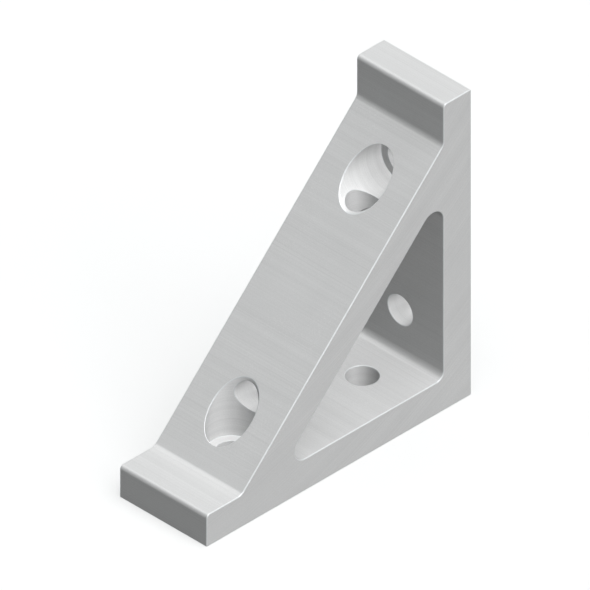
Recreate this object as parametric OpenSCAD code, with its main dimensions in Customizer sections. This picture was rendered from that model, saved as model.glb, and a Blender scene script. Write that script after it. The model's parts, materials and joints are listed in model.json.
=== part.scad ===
// T slot corner bracket: one piece of extruded aluminium, sawn to width and drilled.
// Two equal legs meet at a square corner, and a diagonal web joins them around a triangular window.
// X runs along the foot and Z up the back, both away from the outer corner. Y runs across the width.
// The origin is on the outer corner's edge, at the middle of the width.

/* [Legs] */
// Length of each leg, from the outer corner to the end of its toe
leg_length = 77.2; // [72:0.1:110]
// Thickness of each leg
leg_thickness = 8; // [6:0.1:10]
// Width that the extrusion is sawn to
width = 25.4; // [16:0.1:50]
// Length of each leg's toe, from its end to the foot of the web
toe_length = 10.1; // [5:0.1:14]

/* [Web] */
// Thickness of the web, square to its slope
web_thickness = 8; // [5:0.1:10]

/* [Rounds] */
// Radius of the round at the end of each toe
toe_end_radius = 1; // [0.3:0.1:2.5]
// Radius of the blend from each toe into the web
toe_blend_radius = 2; // [0.5:0.1:5]
// Radius of the window's square corner
square_corner_radius = 2; // [0.5:0.1:6]
// Radius of the window's two sharp corners
sharp_corner_radius = 3.1; // [1:0.1:4]

/* [Holes] */
// Diameter of the bolt holes, and of the key holes through the web in line with the inner ones
bolt_hole_diameter = 7.1; // [4:0.1:9]
// Distance from the outer corner to the centre of each leg's inner bolt hole
inner_hole_distance = 19.05; // [15:0.05:24]
// Distance of each leg's outer bolt hole behind the line where the web's outer slope meets that leg
outer_hole_inset = 9.95; // [6:0.05:14]
// Diameter of the bores that take a bolt's head and its key down through the web
access_bore_diameter = 11.1; // [9.5:0.1:13]

/* [Hidden] */
$fn = 96;

// Distance from the outer corner at which each slope of the web, carried on, meets a leg's outer face
web_outer_reach = leg_length - toe_length + leg_thickness;
web_inner_reach = web_outer_reach - web_thickness * sqrt(2);
// Distance from the outer corner to the centre of each leg's outer bolt hole
outer_hole_distance = leg_length - toe_length - outer_hole_inset;

// How far a round passes the sides that it joins, so that it takes in both their ends
round_overlap = 0.0001;
// How far a drilling runs out past the bracket
run_out = 1;

// Corners of the section, counter-clockwise, each with the radius that it is rounded to
outline = [
    [0, 0, 0],
    [leg_length, 0, 0],
    [leg_length, leg_thickness, toe_end_radius],
    [web_outer_reach - leg_thickness, leg_thickness, toe_blend_radius],
    [leg_thickness, web_outer_reach - leg_thickness, toe_blend_radius],
    [leg_thickness, leg_length, toe_end_radius],
    [0, leg_length, 0]
];
window = [
    [leg_thickness, leg_thickness, square_corner_radius],
    [web_inner_reach - leg_thickness, leg_thickness, sharp_corner_radius],
    [leg_thickness, web_inner_reach - leg_thickness, sharp_corner_radius]
];

// Where a corner is, and its directions back to the corner before it and on to the one after it
function place(corner) = [corner[0], corner[1]];
function unit(v) = v / norm(v);
function other_end(corners, i, step) = place(corners[(i + step + len(corners)) % len(corners)]);
function back(corners, i) = unit(other_end(corners, i, -1) - place(corners[i]));
function on(corners, i) = unit(other_end(corners, i, 1) - place(corners[i]));

// Where the round of corner i has its centre, and how far from the corner it meets the two sides
function half_angle(corners, i) = acos(back(corners, i) * on(corners, i)) / 2;
function round_reach(corners, i) = corners[i][2] / tan(half_angle(corners, i));
function round_centre(corners, i) =
    place(corners[i])
    + unit(back(corners, i) + on(corners, i)) * corners[i][2] / sin(half_angle(corners, i));
function is_rounded(corners, i) = corners[i][2] > 0;
function is_hollow(corners, i) = cross(on(corners, i), back(corners, i)) < 0;

module rounds(corners, hollow) {
    for (i = [0 : len(corners) - 1])
        if (is_rounded(corners, i) && is_hollow(corners, i) == hollow)
            translate(round_centre(corners, i))
                circle(r = corners[i][2] + round_overlap);
}

// A polygon cut straight across each rounded corner, with the rounds then added or taken away
module rounded_polygon(corners) {
    points = [
        for (i = [0 : len(corners) - 1])
            for (side = is_rounded(corners, i) ? [back(corners, i), on(corners, i)] : [[0, 0]])
                place(corners[i]) + side * round_reach(corners, i)
    ];
    difference() {
        union() {
            polygon(points);
            rounds(corners, hollow = false);
        }
        rounds(corners, hollow = true);
    }
}

module extrusion() {
    rotate([90, 0, 0])
        linear_extrude(height = width, center = true)
            difference() {
                rounded_polygon(outline);
                rounded_polygon(window);
            }
}

// A drilling square to the back, from start, measured from its outer face, to past the bracket
module back_drilling(distance, start, diameter) {
    translate([start, 0, distance])
        rotate([0, 90, 0])
            cylinder(h = leg_length + run_out - start, d = diameter);
}

// The inner drilling goes on through the web, where it opens into the foot's access bore
module back_holes() {
    back_drilling(inner_hole_distance, -run_out, bolt_hole_diameter);
    back_drilling(outer_hole_distance, -run_out, bolt_hole_diameter);
    back_drilling(outer_hole_distance, leg_thickness, access_bore_diameter);
}

// The foot is drilled as the back is, mirrored about the plane that halves the square corner
module bracket() {
    color("silver")
        difference() {
            extrusion();
            back_holes();
            mirror([1, 0, -1]) back_holes();
        }
}

bracket();
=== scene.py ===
import json
import math

import bpy
from bpy.props import FloatProperty, FloatVectorProperty, IntProperty, PointerProperty
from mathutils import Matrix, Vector


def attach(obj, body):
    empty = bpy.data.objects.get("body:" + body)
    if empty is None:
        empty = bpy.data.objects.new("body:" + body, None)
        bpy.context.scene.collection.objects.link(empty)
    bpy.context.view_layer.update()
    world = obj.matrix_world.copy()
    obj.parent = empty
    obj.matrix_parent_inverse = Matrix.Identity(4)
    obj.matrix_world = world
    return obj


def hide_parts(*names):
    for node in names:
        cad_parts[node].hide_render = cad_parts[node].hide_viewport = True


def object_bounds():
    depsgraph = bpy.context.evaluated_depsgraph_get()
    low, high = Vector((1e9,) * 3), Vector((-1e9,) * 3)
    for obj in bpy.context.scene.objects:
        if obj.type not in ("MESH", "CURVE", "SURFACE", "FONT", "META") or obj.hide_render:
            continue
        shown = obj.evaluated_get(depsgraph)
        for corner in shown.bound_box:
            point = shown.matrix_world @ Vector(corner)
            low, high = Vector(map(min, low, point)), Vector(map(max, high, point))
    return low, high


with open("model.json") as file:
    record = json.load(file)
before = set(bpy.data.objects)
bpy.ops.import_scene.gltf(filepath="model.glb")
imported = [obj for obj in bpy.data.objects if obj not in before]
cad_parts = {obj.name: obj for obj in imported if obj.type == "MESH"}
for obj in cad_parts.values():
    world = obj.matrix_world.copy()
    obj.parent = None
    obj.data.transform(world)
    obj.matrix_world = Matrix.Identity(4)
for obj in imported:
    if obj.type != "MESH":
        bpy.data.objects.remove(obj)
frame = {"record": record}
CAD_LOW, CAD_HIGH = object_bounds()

bl_info = {
    "name": "T Slot Corner Bracket",
    "version": (1, 0, 0),
    "blender": (4, 5, 0),
    "location": "3D View > Sidebar > Bracket",
    "description": "Makes an open gusset corner bracket for T slot framing, and its studio",
    "category": "Add Mesh",
}

MM = 0.001

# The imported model's mounts
MOUNTS = {mount["name"]: mount for mount in frame["record"]["mounts"]}
BOLTS = MOUNTS["foot_bolts"]
ACCESS_BORE = MOUNTS["foot_access_bore"]  # it ends level with the foot's inner face
HALF_BOLT_SPACING = BOLTS["dims"]["spacing_x_mm"] * MM / 2

# The solid
SEAM_WELD = 0.001 * MM  # joins the extrusion's walls to its two ends
RUN_OUT = 1 * MM  # how far a drilling runs past the metal
DRILL_AXES = {"drilled_upright": "Z", "drilled_level": "X"}  # the foot's, then the back's
WELD = 0.02 * MM  # after the drilling, points closer than this become one
FACING_ACROSS = 0.5  # a face whose normal leans further than this towards Y is a sawn one

# The broken edges
EDGE_WEIGHT = "bevel_weight_edge"
SHARPEST_SMOOTH = math.radians(28)  # a bend up to this much is part of a round
BOTH_DRILLED = 0.9  # an edge's two faces are both drilled ones if they average more than this
INNER_EDGE_SPARED = 0.5  # how much less such an edge is broken
EDGE_STEPS = 3
FLATS_FIRST = 100  # the highest weight of large faces in the smooth normals

# The patterns of the finish
NOISE_GAIN = 5.0  # widens the noise texture's narrow spread to about -1 to 1
CLOUD_SIZE = 14 * MM
GRAIN_DEPTH = 0.0015 * MM
DIE_LINE_DEPTH = 0.0025 * MM
DIE_LINE_DRIFT = 0.002  # how fast a die line changes along Y, against across it
SAW_MARK_DEPTH = 0.003 * MM
SAW_MIDDLE = (0.55, 0.0, 0.9)  # the saw's middle, in saw radii from the outer corner
DRILL_RING_DEPTH = 0.0025 * MM
BROAD_LINES = 7.0  # the broad lines' spacing over that of the fine ones
BROAD_STRENGTH = 0.6  # the broad lines' strength over that of the fine ones
SCUFF_PATCH = 12 * MM
SCUFF_PATCH_RIM = (0.0, 0.8)  # the noise where a patch begins, and where it is full
SCUFF_WIDTH = 0.15 * MM
SCUFF_STRETCH = 25.0  # a rub's length over its width
SCUFF_RIM = (0.8, 1.2)  # the noise where a rub begins, and where it is full
SCUFF_TURNS = ((0.5, 0.9, 0.6), (0.8, -0.7, -0.9))  # the lie of two sets of rubs, in radians

# The two axes that stand square to each one
SQUARE_TO = {"X": (0.0, 1.0, 1.0), "Y": (1.0, 0.0, 1.0), "Z": (1.0, 1.0, 0.0)}

# The studio
PHOTO_SIDE = 590  # the photo's width and height in pixels
CORNER_PIXEL = (471.0, 394.6)  # where the photo shows the near outer corner
CAMERA_DISTANCE = 0.5
FLOOR_ROUGHNESS = 0.9
FLOOR_SPECULAR = 0.1
BRIGHTEST = 20.0  # the most that a light may be set to
LAMP_SIDES = {  # the way from the bracket to each lamp
    "key": (0.0, 0.40, 0.92),
    "top": (0.0, 0.0, 1.0),
    "near": (0.0, 0.97, 0.10),
    "corner": (0.62, 0.78, -0.10),
    "fill": (-0.75, -0.55, -0.45),
}


def length(name, description, default):
    """A size in metres that a user may change."""
    return FloatProperty(name=name, description=description, default=default, min=0.0,
                         precision=5, unit="LENGTH", subtype="DISTANCE")


def share(name, description, default, highest=1.0):
    """A plain number from nought to a highest value."""
    return FloatProperty(name=name, description=description, default=default, min=0.0,
                         max=highest, subtype="FACTOR")


def colour(name, description, default):
    """A linear colour."""
    return FloatVectorProperty(name=name, description=description, default=default, min=0.0,
                               max=1.0, size=3, subtype="COLOR")


def angle(name, description, default):
    """An angle in radians, which the sidebar shows in degrees."""
    return FloatProperty(name=name, description=description, default=default,
                         subtype="ANGLE", unit="ROTATION")


class BracketSizes(bpy.types.PropertyGroup):
    leg_length: length(
        "Leg length", "From the outer corner to the end of a toe", CAD_HIGH.x)
    leg_thickness: length(
        "Leg thickness", "Thickness of each leg", ACCESS_BORE["pos_m"][2])
    width: length(
        "Width", "Width that the extrusion is sawn to", CAD_HIGH.y - CAD_LOW.y)
    toe_length: length(
        "Toe length", "From the end of a toe to the foot of the web", 10.1 * MM)
    web_thickness: length(
        "Web thickness", "Thickness of the web, square to its slope", 8 * MM)
    toe_end_radius: length(
        "Toe end radius", "Round at the end of each toe", 1 * MM)
    toe_blend_radius: length(
        "Toe blend radius", "Blend from each toe into the web", 2 * MM)
    square_corner_radius: length(
        "Square corner radius", "Round of the window's square corner", 2 * MM)
    sharp_corner_radius: length(
        "Sharp corner radius", "Round of the window's two sharp corners", 3.1 * MM)
    bolt_hole_diameter: length(
        "Bolt hole diameter", "Diameter of the bolt holes and key holes",
        2 * BOLTS["dims"]["hole_r_mm"] * MM)
    inner_hole_distance: length(
        "Inner hole distance", "From the outer corner to each leg's inner bolt hole",
        BOLTS["pos_m"][0] - HALF_BOLT_SPACING)
    outer_hole_distance: length(
        "Outer hole distance", "From the outer corner to each leg's outer bolt hole",
        BOLTS["pos_m"][0] + HALF_BOLT_SPACING)
    access_bore_diameter: length(
        "Access bore diameter", "Diameter of the bores that let a bolt's head down",
        2 * ACCESS_BORE["dims"]["r_mm"] * MM)
    broken_edge: length(
        "Broken edge", "Width to which tumbling has broken the sharp edges", 0.22 * MM)
    round_steps: IntProperty(
        name="Round steps", description="Straight steps in each round of the section",
        default=12, min=2)
    hole_sides: IntProperty(
        name="Hole sides", description="Flat sides around each drilling", default=96, min=12)


# The bracket's tree takes every size but the broken edge, which is made after it
SIZE_INPUTS = [key for key in BracketSizes.__annotations__ if key != "broken_edge"]


class BracketFinish(bpy.types.PropertyGroup):
    aluminium: colour(
        "Aluminium", "Colour of the clear anodised aluminium", (0.68, 0.68, 0.68))
    drilled_aluminium: colour(
        "Drilled aluminium", "Colour of the freshly cut walls of the holes", (0.83, 0.83, 0.83))
    bright_aluminium: colour(
        "Bright aluminium", "Colour of the edges that tumbling has rubbed bright",
        (0.80, 0.81, 0.82))
    metallic: share(
        "Metallic", "How metallic the etched and anodised faces look", 0.22)
    cut_metallic: share(
        "Cut metallic", "How metallic the walls of the holes and the rubbed edges look", 0.25)
    extruded_roughness: share(
        "Extruded roughness", "Roughness of the faces that the die left", 0.50)
    sawn_roughness: share(
        "Sawn roughness", "Roughness of the sawn sides", 0.53)
    drilled_roughness: share(
        "Drilled roughness", "Roughness of the walls of the holes", 0.40)
    edge_roughness: share(
        "Edge roughness", "Roughness of the tumbled edges", 0.33)
    clouding: share(
        "Clouding", "How far the anodising varies in soft patches", 0.02)
    grain: share(
        "Grain", "How far the fine grain of the etched metal varies", 0.03)
    grain_size: length(
        "Grain size", "Size of the fine grain", 0.22 * MM)
    scuffs: share(
        "Scuffs", "How far the rubs from handling show", 0.05)
    die_line_spacing: length(
        "Die line spacing", "Spacing of the lines that the die left along the extrusion",
        0.3 * MM)
    die_line_contrast: share(
        "Die line contrast", "How far the die lines show", 0.035)
    saw_mark_spacing: length(
        "Saw mark spacing", "Spacing of the arcs that the saw left on the sides", 0.4 * MM)
    saw_mark_contrast: share(
        "Saw mark contrast", "How far the saw marks show", 0.04)
    saw_radius: length(
        "Saw radius", "Radius of the saw that cut the sides", 200 * MM)
    drill_ring_spacing: length(
        "Drill ring spacing", "Spacing of the rings that the drill left", 0.25 * MM)
    drill_ring_contrast: share(
        "Drill ring contrast", "How far the drill rings show", 0.05)


class BracketStage(bpy.types.PropertyGroup):
    azimuth: angle(
        "Azimuth", "Direction of the camera round the bracket", math.radians(135))
    elevation: angle(
        "Elevation", "Height of the camera over the horizon", math.asin(1 / math.sqrt(3)))
    view_width: length(
        "View width", "Width that the camera takes in", 121.85 * MM)
    corner_across: share(
        "Corner across", "Where the near outer corner stands, from the frame's left edge",
        CORNER_PIXEL[0] / PHOTO_SIDE)
    corner_up: share(
        "Corner up", "Where the near outer corner stands, from the frame's lower edge",
        1 - CORNER_PIXEL[1] / PHOTO_SIDE)
    floor_size: length(
        "Floor size", "Side of the square floor", 4.0)
    floor_colour: colour(
        "Floor colour", "Colour of the plain pale floor", (0.86, 0.86, 0.86))
    floor_bounce: colour(
        "Floor bounce", "Colour of the light that the floor throws back on the bracket",
        (0.20, 0.20, 0.20))
    ambient_colour: colour(
        "Ambient colour", "Colour of the even light from all round", (0.84, 1.0, 1.0))
    ambient: share(
        "Ambient light", "Strength of the even light from all round", 0.07, BRIGHTEST)
    lamp_spread: angle(
        "Lamp spread", "How wide each soft lamp looks from the bracket", math.radians(60))
    top_spread: angle(
        "Top light spread", "How wide the lamp above looks, wider to keep its glare low",
        math.radians(76))
    key: share(
        "Key light", "Strength of the soft main light, which casts the shadows", 0.8, BRIGHTEST)
    top: share(
        "Top light", "Strength of the light from above", 2.5, BRIGHTEST)
    near: share(
        "Near light", "Strength of the low light on the near sawn side", 1.65, BRIGHTEST)
    corner: share(
        "Corner light", "Strength of the low light from the camera's side", 0.33, BRIGHTEST)
    fill: share(
        "Fill light", "Strength of the light on the far sides", 1.0, BRIGHTEST)


def node(tree, kind, inputs=None, **settings):
    """Adds a node, applies its settings and fills its inputs with values or links."""
    made = tree.nodes.new(kind)
    for name, value in settings.items():
        setattr(made, name, value)
    for key, value in (inputs or {}).items():
        if isinstance(value, bpy.types.NodeSocket):
            tree.links.new(value, made.inputs[key])
        else:
            made.inputs[key].default_value = value
    return made


def maths(tree, operation, first, second=0.0):
    """The result of a sum on two numbers or sockets."""
    return node(tree, "ShaderNodeMath", {0: first, 1: second}, operation=operation).outputs[0]


def vector(tree, x=0.0, y=0.0, z=0.0):
    """A vector from numbers or sockets."""
    return node(tree, "ShaderNodeCombineXYZ", {"X": x, "Y": y, "Z": z}).outputs[0]


def joined(tree, *parts):
    """The geometry of all the parts together."""
    join = node(tree, "GeometryNodeJoinGeometry")
    for part in parts:
        tree.links.new(part, join.inputs[0])
    return join.outputs[0]


def with_material(tree, geometry, material, selection=None):
    """The geometry with a material on the selected faces, or on all of them."""
    inputs = {"Geometry": geometry, "Material": material}
    if selection is not None:
        inputs["Selection"] = selection
    return node(tree, "GeometryNodeSetMaterial", inputs).outputs[0]


def rounded_curve(tree, corners, steps):
    """A closed curve through corners of (x, y, radius), each rounded to its radius."""
    index = node(tree, "GeometryNodeInputIndex").outputs[0]

    def of_corner(which):
        switch = node(tree, "GeometryNodeIndexSwitch", {0: index}, data_type="FLOAT")
        while len(switch.index_switch_items) < len(corners):
            switch.index_switch_items.new()
        for place, corner in enumerate(corners):
            value = corner[which]
            if isinstance(value, bpy.types.NodeSocket):
                tree.links.new(value, switch.inputs[place + 1])
            else:
                switch.inputs[place + 1].default_value = value
        return switch.outputs[0]

    ring = node(tree, "GeometryNodeCurvePrimitiveCircle", {"Resolution": len(corners)})
    corner_curve = node(tree, "GeometryNodeSetPosition", {
        "Geometry": ring.outputs[0], "Position": vector(tree, of_corner(0), of_corner(1))})
    return node(tree, "GeometryNodeFilletCurve", {
        "Curve": corner_curve.outputs[0], "Radius": of_corner(2), "Count": steps},
        mode="POLY").outputs[0]


def section(tree, given):
    """The outline of the bracket and that of its window, as closed curves."""
    leg, thick = given["leg_length"], given["leg_thickness"]
    slope_foot = maths(tree, "SUBTRACT", leg, given["toe_length"])
    slant = maths(tree, "MULTIPLY", given["web_thickness"], math.sqrt(2))
    window_tip = maths(tree, "SUBTRACT", slope_foot, slant)
    outline = rounded_curve(tree, [
        (0.0, 0.0, 0.0),
        (leg, 0.0, 0.0),
        (leg, thick, given["toe_end_radius"]),
        (slope_foot, thick, given["toe_blend_radius"]),
        (thick, slope_foot, given["toe_blend_radius"]),
        (thick, leg, given["toe_end_radius"]),
        (0.0, leg, 0.0)], given["round_steps"])
    window = rounded_curve(tree, [
        (thick, thick, given["square_corner_radius"]),
        (window_tip, thick, given["sharp_corner_radius"]),
        (thick, window_tip, given["sharp_corner_radius"])], given["round_steps"])
    return joined(tree, outline, window)


def extrusion(tree, curves, width):
    """A solid with the curves as its section in X and Z, across the middle of Y."""
    flat = node(tree, "GeometryNodeFillCurve", {"Curve": curves}, mode="NGONS").outputs[0]
    risen = node(tree, "GeometryNodeExtrudeMesh", {
        "Mesh": flat, "Offset": vector(tree, z=1.0), "Offset Scale": width,
        "Individual": False}, mode="FACES").outputs[0]
    underside = node(tree, "GeometryNodeFlipFaces", {"Mesh": flat}).outputs[0]
    solid = node(tree, "GeometryNodeMergeByDistance", {
        "Geometry": joined(tree, risen, underside), "Distance": SEAM_WELD}).outputs[0]
    return node(tree, "GeometryNodeTransform", {
        "Geometry": solid, "Rotation": (math.pi / 2, 0.0, 0.0),
        "Translation": vector(tree, y=maths(tree, "MULTIPLY", width, 0.5))}).outputs[0]


def drilling(tree, distance, diameter, start, end, sides):
    """A cylinder square to the foot, at a distance from the outer corner, from start up to end."""
    barrel = node(tree, "GeometryNodeMeshCylinder", {
        "Vertices": sides, "Radius": maths(tree, "MULTIPLY", diameter, 0.5),
        "Depth": maths(tree, "SUBTRACT", end, start)}).outputs[0]
    middle = maths(tree, "MULTIPLY", maths(tree, "ADD", start, end), 0.5)
    return node(tree, "GeometryNodeTransform", {
        "Geometry": barrel, "Translation": vector(tree, x=distance, z=middle)}).outputs[0]


def foot_drillings(tree, given):
    """The foot's inner bolt hole with its key hole, its outer bolt hole and the access bore."""
    inner, outer = given["inner_hole_distance"], given["outer_hole_distance"]
    bolt, sides = given["bolt_hole_diameter"], given["hole_sides"]
    thick = given["leg_thickness"]
    over = maths(tree, "ADD", given["leg_length"], RUN_OUT)
    through_the_foot = maths(tree, "ADD", thick, RUN_OUT)
    return joined(
        tree,
        drilling(tree, inner, bolt, -RUN_OUT, over, sides),
        drilling(tree, outer, bolt, -RUN_OUT, through_the_foot, sides),
        drilling(tree, outer, given["access_bore_diameter"], thick, over, sides))


def wall_faces(tree, finishes):
    """One on the walls of the drillings, nought on every other face."""
    return maths(tree, "ADD", *(
        node(tree, "GeometryNodeMaterialSelection", {"Material": finishes[name]}).outputs[0]
        for name in DRILL_AXES))


def sawn_faces(tree, walls):
    """True on the two sawn sides, which face along Y and are no drilling's wall."""
    normal = node(tree, "GeometryNodeInputNormal").outputs[0]
    across = node(tree, "ShaderNodeSeparateXYZ", {"Vector": normal}).outputs["Y"]
    leaning = maths(tree, "SUBTRACT", maths(tree, "ABSOLUTE", across), walls)
    return node(tree, "FunctionNodeCompare", {0: leaning, 1: FACING_ACROSS},
                data_type="FLOAT", operation="GREATER_THAN").outputs[0]


def edge_weight(tree, walls):
    """How far each edge is broken: less where both faces are drilled, not at all on a round."""
    bend = node(tree, "GeometryNodeInputMeshEdgeAngle").outputs["Unsigned Angle"]
    sharp = maths(tree, "GREATER_THAN", bend, SHARPEST_SMOOTH)
    faces = node(tree, "GeometryNodeFieldOnDomain", {0: walls}, data_type="FLOAT", domain="FACE")
    inner = maths(tree, "GREATER_THAN", faces.outputs[0], BOTH_DRILLED)
    spared = maths(tree, "MULTIPLY", inner, INNER_EDGE_SPARED)
    return maths(tree, "MULTIPLY", sharp, maths(tree, "SUBTRACT", 1.0, spared))


def bracket_tree(finishes):
    """The rule for the bracket: a section of named sizes, extruded, drilled and finished."""
    tree = bpy.data.node_groups.new("open_gusset_bracket", "GeometryNodeTree")
    for key in SIZE_INPUTS:
        size = BracketSizes.__annotations__[key]
        whole = size.function is IntProperty
        tree.interface.new_socket(size.keywords["name"], in_out="INPUT",
                                  socket_type="NodeSocketInt" if whole else "NodeSocketFloat")
    tree.interface.new_socket("Bracket", in_out="OUTPUT", socket_type="NodeSocketGeometry")
    given = dict(zip(SIZE_INPUTS, node(tree, "NodeGroupInput").outputs))

    blank = with_material(tree, extrusion(tree, section(tree, given), given["width"]),
                          finishes["extruded"])
    foot_holes = foot_drillings(tree, given)
    half_turn = node(tree, "FunctionNodeAxisAngleToRotation", {
        "Axis": (1.0, 0.0, 1.0), "Angle": math.pi}).outputs[0]
    back_holes = node(tree, "GeometryNodeTransform", {
        "Geometry": foot_holes, "Rotation": half_turn}).outputs[0]
    drilled = node(tree, "GeometryNodeMeshBoolean", {
        "Mesh 1": blank, "Self Intersection": True}, operation="DIFFERENCE", solver="EXACT")
    for holes, name in zip((foot_holes, back_holes), DRILL_AXES):
        tree.links.new(with_material(tree, holes, finishes[name]), drilled.inputs["Mesh 2"])

    walls = wall_faces(tree, finishes)
    welded = node(tree, "GeometryNodeMergeByDistance", {
        "Geometry": drilled.outputs["Mesh"], "Distance": WELD}).outputs[0]
    weighted = node(tree, "GeometryNodeStoreNamedAttribute", {
        "Geometry": welded, "Name": EDGE_WEIGHT, "Value": edge_weight(tree, walls)},
        data_type="FLOAT", domain="EDGE").outputs[0]
    whole = node(tree, "GeometryNodeRealizeInstances", {"Geometry": weighted}).outputs[0]
    finished = with_material(tree, whole, finishes["sawn"], sawn_faces(tree, walls))
    node(tree, "NodeGroupOutput", {0: finished})
    return tree


def shader_group(name, inputs, outputs):
    """An empty shader group with named sockets, and what comes in through them."""
    tree = bpy.data.node_groups.new(name, "ShaderNodeTree")
    for sockets, way in ((inputs, "INPUT"), (outputs, "OUTPUT")):
        for label, kind in sockets.items():
            tree.interface.new_socket(label, in_out=way, socket_type="NodeSocket" + kind)
    return tree, node(tree, "NodeGroupInput").outputs


def noise(tree, place, size, detail):
    """Soft noise, mostly from -1 to 1, in spots of about the size given in metres."""
    texture = node(tree, "ShaderNodeTexNoise", {
        "Vector": place, "Scale": maths(tree, "DIVIDE", 1.0, size), "Detail": detail})
    centred = maths(tree, "SUBTRACT", texture.outputs["Fac"], 0.5)
    return maths(tree, "MULTIPLY", centred, NOISE_GAIN)


def ramp(tree, value, low, high):
    """Nought up to low, one from high on, and a smooth change between them."""
    return node(tree, "ShaderNodeMapRange", {
        "Value": value, "From Min": low, "From Max": high},
        interpolation_type="SMOOTHSTEP").outputs["Result"]


def tinted(tree, tint, amount):
    """A colour made brighter by an amount over nought, or darker by one under it."""
    return node(tree, "ShaderNodeVectorMath", {
        "Vector": tint, "Scale": maths(tree, "ADD", 1.0, amount)}, operation="SCALE").outputs[0]


def skin_group():
    """Clear satin anodising: soft clouding over the fine grain of the etched metal."""
    tree, given = shader_group(
        "anodised_skin",
        {"Colour": "Color", "Roughness": "Float", "Clouding": "Float", "Grain": "Float",
         "Grain Size": "Float", "Cloud Size": "Float"},
        {"Colour": "Color", "Roughness": "Float", "Height": "Float"})
    place = node(tree, "ShaderNodeTexCoord").outputs["Object"]
    clouds = maths(tree, "MULTIPLY", noise(tree, place, given["Cloud Size"], detail=3.0),
                   given["Clouding"])
    grain = noise(tree, place, given["Grain Size"], detail=2.0)
    speckle = maths(tree, "MULTIPLY", grain, given["Grain"])
    duller = maths(tree, "SUBTRACT", speckle, clouds)
    node(tree, "NodeGroupOutput", {
        "Colour": tinted(tree, given["Colour"], maths(tree, "ADD", clouds, speckle)),
        "Roughness": maths(tree, "MULTIPLY", given["Roughness"],
                           maths(tree, "ADD", 1.0, duller)),
        "Height": grain})
    return tree


def lines_group():
    """Tool lines, fine ones on broad ones, wherever the place across them changes."""
    tree, given = shader_group(
        "tool_lines",
        {"Across": "Vector", "Spacing": "Float", "Colour": "Color", "Contrast": "Float"},
        {"Colour": "Color", "Lines": "Float"})
    broad_spacing = maths(tree, "MULTIPLY", given["Spacing"], BROAD_LINES)
    fine = noise(tree, given["Across"], given["Spacing"], detail=3.0)
    broad = noise(tree, given["Across"], broad_spacing, detail=1.0)
    lines = maths(tree, "ADD", fine, maths(tree, "MULTIPLY", broad, BROAD_STRENGTH))
    node(tree, "NodeGroupOutput", {
        "Colour": tinted(tree, given["Colour"],
                         maths(tree, "MULTIPLY", lines, given["Contrast"])),
        "Lines": lines})
    return tree


def scuffs_group():
    """Short fine rubs from handling, gathered in patches: brighter and smoother than the skin."""
    tree, given = shader_group(
        "handling_scuffs",
        {"Colour": "Color", "Roughness": "Float", "Amount": "Float"},
        {"Colour": "Color", "Roughness": "Float"})
    place = node(tree, "ShaderNodeTexCoord").outputs["Object"]

    def rubs(turn):
        turned = node(tree, "ShaderNodeMapping", {
            "Vector": place, "Rotation": turn, "Scale": (SCUFF_STRETCH, 1.0, 1.0)},
            vector_type="TEXTURE").outputs[0]
        return ramp(tree, noise(tree, turned, SCUFF_WIDTH, detail=0.0), *SCUFF_RIM)

    patches = ramp(tree, noise(tree, place, SCUFF_PATCH, detail=1.0), *SCUFF_PATCH_RIM)
    both_ways = maths(tree, "ADD", *(rubs(turn) for turn in SCUFF_TURNS))
    marks = maths(tree, "MULTIPLY", maths(tree, "MULTIPLY", both_ways, patches),
                  given["Amount"])
    node(tree, "NodeGroupOutput", {
        "Colour": tinted(tree, given["Colour"], marks),
        "Roughness": maths(tree, "SUBTRACT", given["Roughness"], marks)})
    return tree


def along_the_die(tree, place):
    """Changes across the lines that the die drew along Y."""
    return node(tree, "ShaderNodeMapping", {
        "Vector": place, "Scale": (1.0, DIE_LINE_DRIFT, 1.0)}, vector_type="POINT").outputs[0]


def reach_from(tree, place, centre, axis):
    """The distance from the line that runs through a centre along X, Y or Z."""
    away = node(tree, "ShaderNodeVectorMath", {0: place, 1: centre},
                operation="SUBTRACT").outputs[0]
    flat = node(tree, "ShaderNodeVectorMath", {0: away, 1: SQUARE_TO[axis]},
                operation="MULTIPLY").outputs[0]
    return node(tree, "ShaderNodeVectorMath", {0: flat}, operation="LENGTH").outputs["Value"]


def round_the_saw(radius):
    """Changes across the arcs of a saw whose middle stood off beyond the sloping side."""
    def across(tree, place):
        middle = tuple(part * radius for part in SAW_MIDDLE)
        return vector(tree, reach_from(tree, place, middle, "Y"))
    return across


def round_the_drill(distances, axis):
    """Changes across the rings that a drill left on its walls, and on the flat where it stopped."""
    def across(tree, place):
        centres = [(far, 0.0, 0.0) if axis == "Z" else (0.0, 0.0, far) for far in distances]
        reach = maths(tree, "MINIMUM", *(
            reach_from(tree, place, centre, axis) for centre in centres))
        parts = node(tree, "ShaderNodeSeparateXYZ", {"Vector": place}).outputs
        return vector(tree, reach, parts[axis])
    return across


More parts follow.
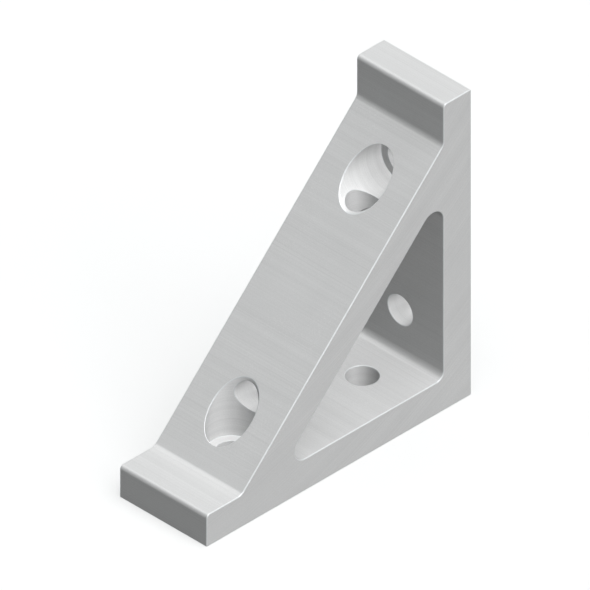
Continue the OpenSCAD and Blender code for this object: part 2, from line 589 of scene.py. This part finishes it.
class Anodiser:
    """Makes the materials, which share the skin, the tool lines and the scuffs."""

    def __init__(self, finish):
        self.finish = finish
        self.skin, self.lines, self.scuffs = skin_group(), lines_group(), scuffs_group()

    def material(self, name, tint, roughness, metallic, scuffs=0.0, across=None, spacing=0.0,
                 contrast=0.0, depth=0.0):
        """One finish: the skin, with tool lines if across is given, and with any scuffs."""
        finish = self.finish
        material = bpy.data.materials.new("anodised_" + name)
        material.use_nodes = True
        tree = material.node_tree
        shader = tree.nodes["Principled BSDF"]
        shader.inputs["Metallic"].default_value = metallic
        skin = node(tree, "ShaderNodeGroup", {
            "Colour": (*tint, 1.0), "Roughness": roughness, "Clouding": finish.clouding,
            "Grain": finish.grain, "Grain Size": finish.grain_size, "Cloud Size": CLOUD_SIZE},
            node_tree=self.skin).outputs
        shade, sheen = skin["Colour"], skin["Roughness"]
        height = maths(tree, "MULTIPLY", skin["Height"], GRAIN_DEPTH)
        if across:
            place = node(tree, "ShaderNodeTexCoord").outputs["Object"]
            marks = node(tree, "ShaderNodeGroup", {
                "Across": across(tree, place), "Spacing": spacing, "Colour": shade,
                "Contrast": contrast}, node_tree=self.lines).outputs
            shade = marks["Colour"]
            height = maths(tree, "ADD", height, maths(tree, "MULTIPLY", marks["Lines"], depth))
        if scuffs:
            rubbed = node(tree, "ShaderNodeGroup", {
                "Colour": shade, "Roughness": sheen, "Amount": scuffs},
                node_tree=self.scuffs).outputs
            shade, sheen = rubbed["Colour"], rubbed["Roughness"]
        relief = node(tree, "ShaderNodeBump", {"Height": height, "Distance": 1.0, "Strength": 1.0})
        for socket, source in (("Base Color", shade), ("Roughness", sheen),
                               ("Normal", relief.outputs[0])):
            tree.links.new(source, shader.inputs[socket])
        return material


def bracket_finishes(sizes, finish):
    """The bracket's materials, one for each way in which its faces were made."""
    made = Anodiser(finish).material
    finishes = {
        "extruded": made(
            "extruded", finish.aluminium, finish.extruded_roughness, finish.metallic,
            scuffs=finish.scuffs, across=along_the_die, spacing=finish.die_line_spacing,
            contrast=finish.die_line_contrast, depth=DIE_LINE_DEPTH),
        "sawn": made(
            "sawn", finish.aluminium, finish.sawn_roughness, finish.metallic,
            scuffs=finish.scuffs, across=round_the_saw(finish.saw_radius),
            spacing=finish.saw_mark_spacing, contrast=finish.saw_mark_contrast,
            depth=SAW_MARK_DEPTH),
        "edge": made(
            "edge", finish.bright_aluminium, finish.edge_roughness, finish.cut_metallic),
    }
    distances = (sizes.inner_hole_distance, sizes.outer_hole_distance)
    for name, axis in DRILL_AXES.items():
        finishes[name] = made(
            name, finish.drilled_aluminium, finish.drilled_roughness, finish.cut_metallic,
            across=round_the_drill(distances, axis), spacing=finish.drill_ring_spacing,
            contrast=finish.drill_ring_contrast, depth=DRILL_RING_DEPTH)
    return finishes


def placed(context, name, data):
    """A new object in the scene, at the origin, that holds the data."""
    made = bpy.data.objects.new(name, data)
    context.scene.collection.objects.link(made)
    return made


def shape_by_tree(context, body, tree, sizes):
    """Gives the object what the tree makes of the sizes, as a plain mesh."""
    maker = body.modifiers.new("Open gusset bracket", "NODES")
    maker.node_group = tree
    sockets = [item for item in tree.interface.items_tree if item.in_out == "INPUT"]
    for key, socket in zip(SIZE_INPUTS, sockets):
        maker[socket.identifier] = getattr(sizes, key)
    depsgraph = context.evaluated_depsgraph_get()
    shape = bpy.data.meshes.new_from_object(body.evaluated_get(depsgraph))
    if not shape.polygons:
        raise RuntimeError("the bracket's sizes give no solid")
    for empty in reversed([at for at, slot in enumerate(shape.materials) if slot is None]):
        shape.materials.pop(index=empty)
    body.modifiers.remove(maker)
    blank = body.data
    body.data = shape
    bpy.data.meshes.remove(blank)
    shape.name = body.name


def break_edges(body, width):
    """Breaks the weighted edges in the last material, and keeps the flats beside them flat."""
    breaking = body.modifiers.new("Broken edges", "BEVEL")
    breaking.limit_method = "WEIGHT"
    breaking.offset_type = "OFFSET"
    breaking.width = width
    breaking.segments = EDGE_STEPS
    breaking.use_clamp_overlap = False
    breaking.material = len(body.data.materials) - 1
    evening = body.modifiers.new("Even normals", "WEIGHTED_NORMAL")
    evening.mode = "FACE_AREA_WITH_ANGLE"
    evening.weight = FLATS_FIRST
    evening.keep_sharp = True


class BRACKET_OT_make_body(bpy.types.Operator):
    """Make the bracket's one piece, with its finishes"""
    bl_idname = "bracket.make_body"
    bl_label = "Bracket Body"

    def execute(self, context):
        sizes = context.scene.bracket_sizes
        finishes = bracket_finishes(sizes, context.scene.bracket_finish)
        body = placed(context, "bracket_body", bpy.data.meshes.new("blank"))
        shape_by_tree(context, body, bracket_tree(finishes), sizes)
        body.data.materials.append(finishes["edge"])
        body.data.shade_smooth()
        break_edges(body, sizes.broken_edge)
        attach(body, "root")
        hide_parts("bracket")
        return {"FINISHED"}


def floor_material(stage):
    """Pale to the camera, darker to the bracket, so that its shaded faces keep their depth."""
    material = bpy.data.materials.new("floor")
    material.use_nodes = True
    tree = material.node_tree
    seen = node(tree, "ShaderNodeLightPath").outputs["Is Camera Ray"]
    shade = node(tree, "ShaderNodeMix", {
        "Factor": seen, "A": (*stage.floor_bounce, 1.0), "B": (*stage.floor_colour, 1.0)},
        data_type="RGBA")
    shader = tree.nodes["Principled BSDF"]
    tree.links.new(shade.outputs["Result"], shader.inputs["Base Color"])
    shader.inputs["Roughness"].default_value = FLOOR_ROUGHNESS
    shader.inputs["Specular IOR Level"].default_value = FLOOR_SPECULAR
    return material


def make_floor(context, stage):
    """The square floor that the bracket stands on."""
    mesh = bpy.data.meshes.new("floor")
    half = stage.floor_size / 2
    mesh.from_pydata([(-half, -half, 0), (half, -half, 0), (half, half, 0), (-half, half, 0)],
                     [], [(0, 1, 2, 3)])
    mesh.materials.append(floor_material(stage))
    return placed(context, "floor", mesh)


def make_camera(context, stage):
    """A camera without perspective, with the near outer corner where the photo shows it."""
    camera = placed(context, "camera", bpy.data.cameras.new("camera"))
    camera.data.type = "ORTHO"
    camera.data.ortho_scale = stage.view_width
    rise, turn = stage.elevation, stage.azimuth
    back = Vector((math.sin(turn) * math.cos(rise), -math.cos(turn) * math.cos(rise),
                   math.sin(rise)))
    right = Vector((math.cos(turn), math.sin(turn), 0.0))
    up = back.cross(right)
    corner = Vector((CAD_LOW.x, CAD_HIGH.y, CAD_LOW.z))
    centre = (corner - right * (stage.corner_across - 0.5) * stage.view_width
              - up * (stage.corner_up - 0.5) * stage.view_width)
    camera.location = centre + back * CAMERA_DISTANCE
    camera.rotation_mode = "QUATERNION"
    camera.rotation_quaternion = back.to_track_quat("Z", "Y")
    return camera


def make_world(stage):
    """Even light from all round."""
    world = bpy.data.worlds.new("studio")
    world.use_nodes = True
    background = world.node_tree.nodes["Background"]
    background.inputs["Strength"].default_value = stage.ambient
    background.inputs["Color"].default_value = (*stage.ambient_colour, 1.0)
    return world


def make_lamps(context, stage):
    """The soft lamps, of which only the key light casts shadows and is thrown on by surfaces."""
    for name, side in LAMP_SIDES.items():
        lamp = placed(context, name, bpy.data.lights.new(name, "SUN"))
        lamp.data.energy = getattr(stage, name)
        lamp.data.angle = stage.top_spread if name == "top" else stage.lamp_spread
        if name != "key":
            lamp.data.use_shadow = False
            lamp.data.cycles.max_bounces = 0
        lamp.rotation_mode = "QUATERNION"
        lamp.rotation_quaternion = Vector(side).to_track_quat("Z", "Y")


class BRACKET_OT_make_stage(bpy.types.Operator):
    """Make the pale floor, the soft studio light and the camera"""
    bl_idname = "bracket.make_stage"
    bl_label = "Studio"

    def execute(self, context):
        stage = context.scene.bracket_stage
        floor = make_floor(context, stage)
        context.scene.camera = make_camera(context, stage)
        context.scene.world = make_world(stage)
        make_lamps(context, stage)
        context.scene.view_settings.view_transform = "Standard"
        return {"FINISHED"}


class BRACKET_PT_sidebar(bpy.types.Panel):
    """The bracket's pieces and its studio"""
    bl_label = "T Slot Corner Bracket"
    bl_idname = "BRACKET_PT_sidebar"
    bl_space_type = "VIEW_3D"
    bl_region_type = "UI"
    bl_category = "Bracket"

    def draw(self, context):
        for step in STEPS:
            self.layout.operator(step.bl_idname)


STEPS = (BRACKET_OT_make_body, BRACKET_OT_make_stage)
SETTINGS = {
    "bracket_sizes": BracketSizes, "bracket_finish": BracketFinish, "bracket_stage": BracketStage}


def register():
    for settings in SETTINGS.values():
        bpy.utils.register_class(settings)
    for step in STEPS:
        bpy.utils.register_class(step)
    bpy.utils.register_class(BRACKET_PT_sidebar)
    for name, settings in SETTINGS.items():
        setattr(bpy.types.Scene, name, PointerProperty(type=settings))


def unregister():
    for name in SETTINGS:
        delattr(bpy.types.Scene, name)
    bpy.utils.unregister_class(BRACKET_PT_sidebar)
    for step in reversed(STEPS):
        bpy.utils.unregister_class(step)
    for settings in reversed(SETTINGS.values()):
        bpy.utils.unregister_class(settings)


def main():
    """Registers the classes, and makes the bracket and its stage."""
    register()
    bpy.ops.bracket.make_body()
    bpy.ops.bracket.make_stage()


if __name__ == "__main__":
    main()
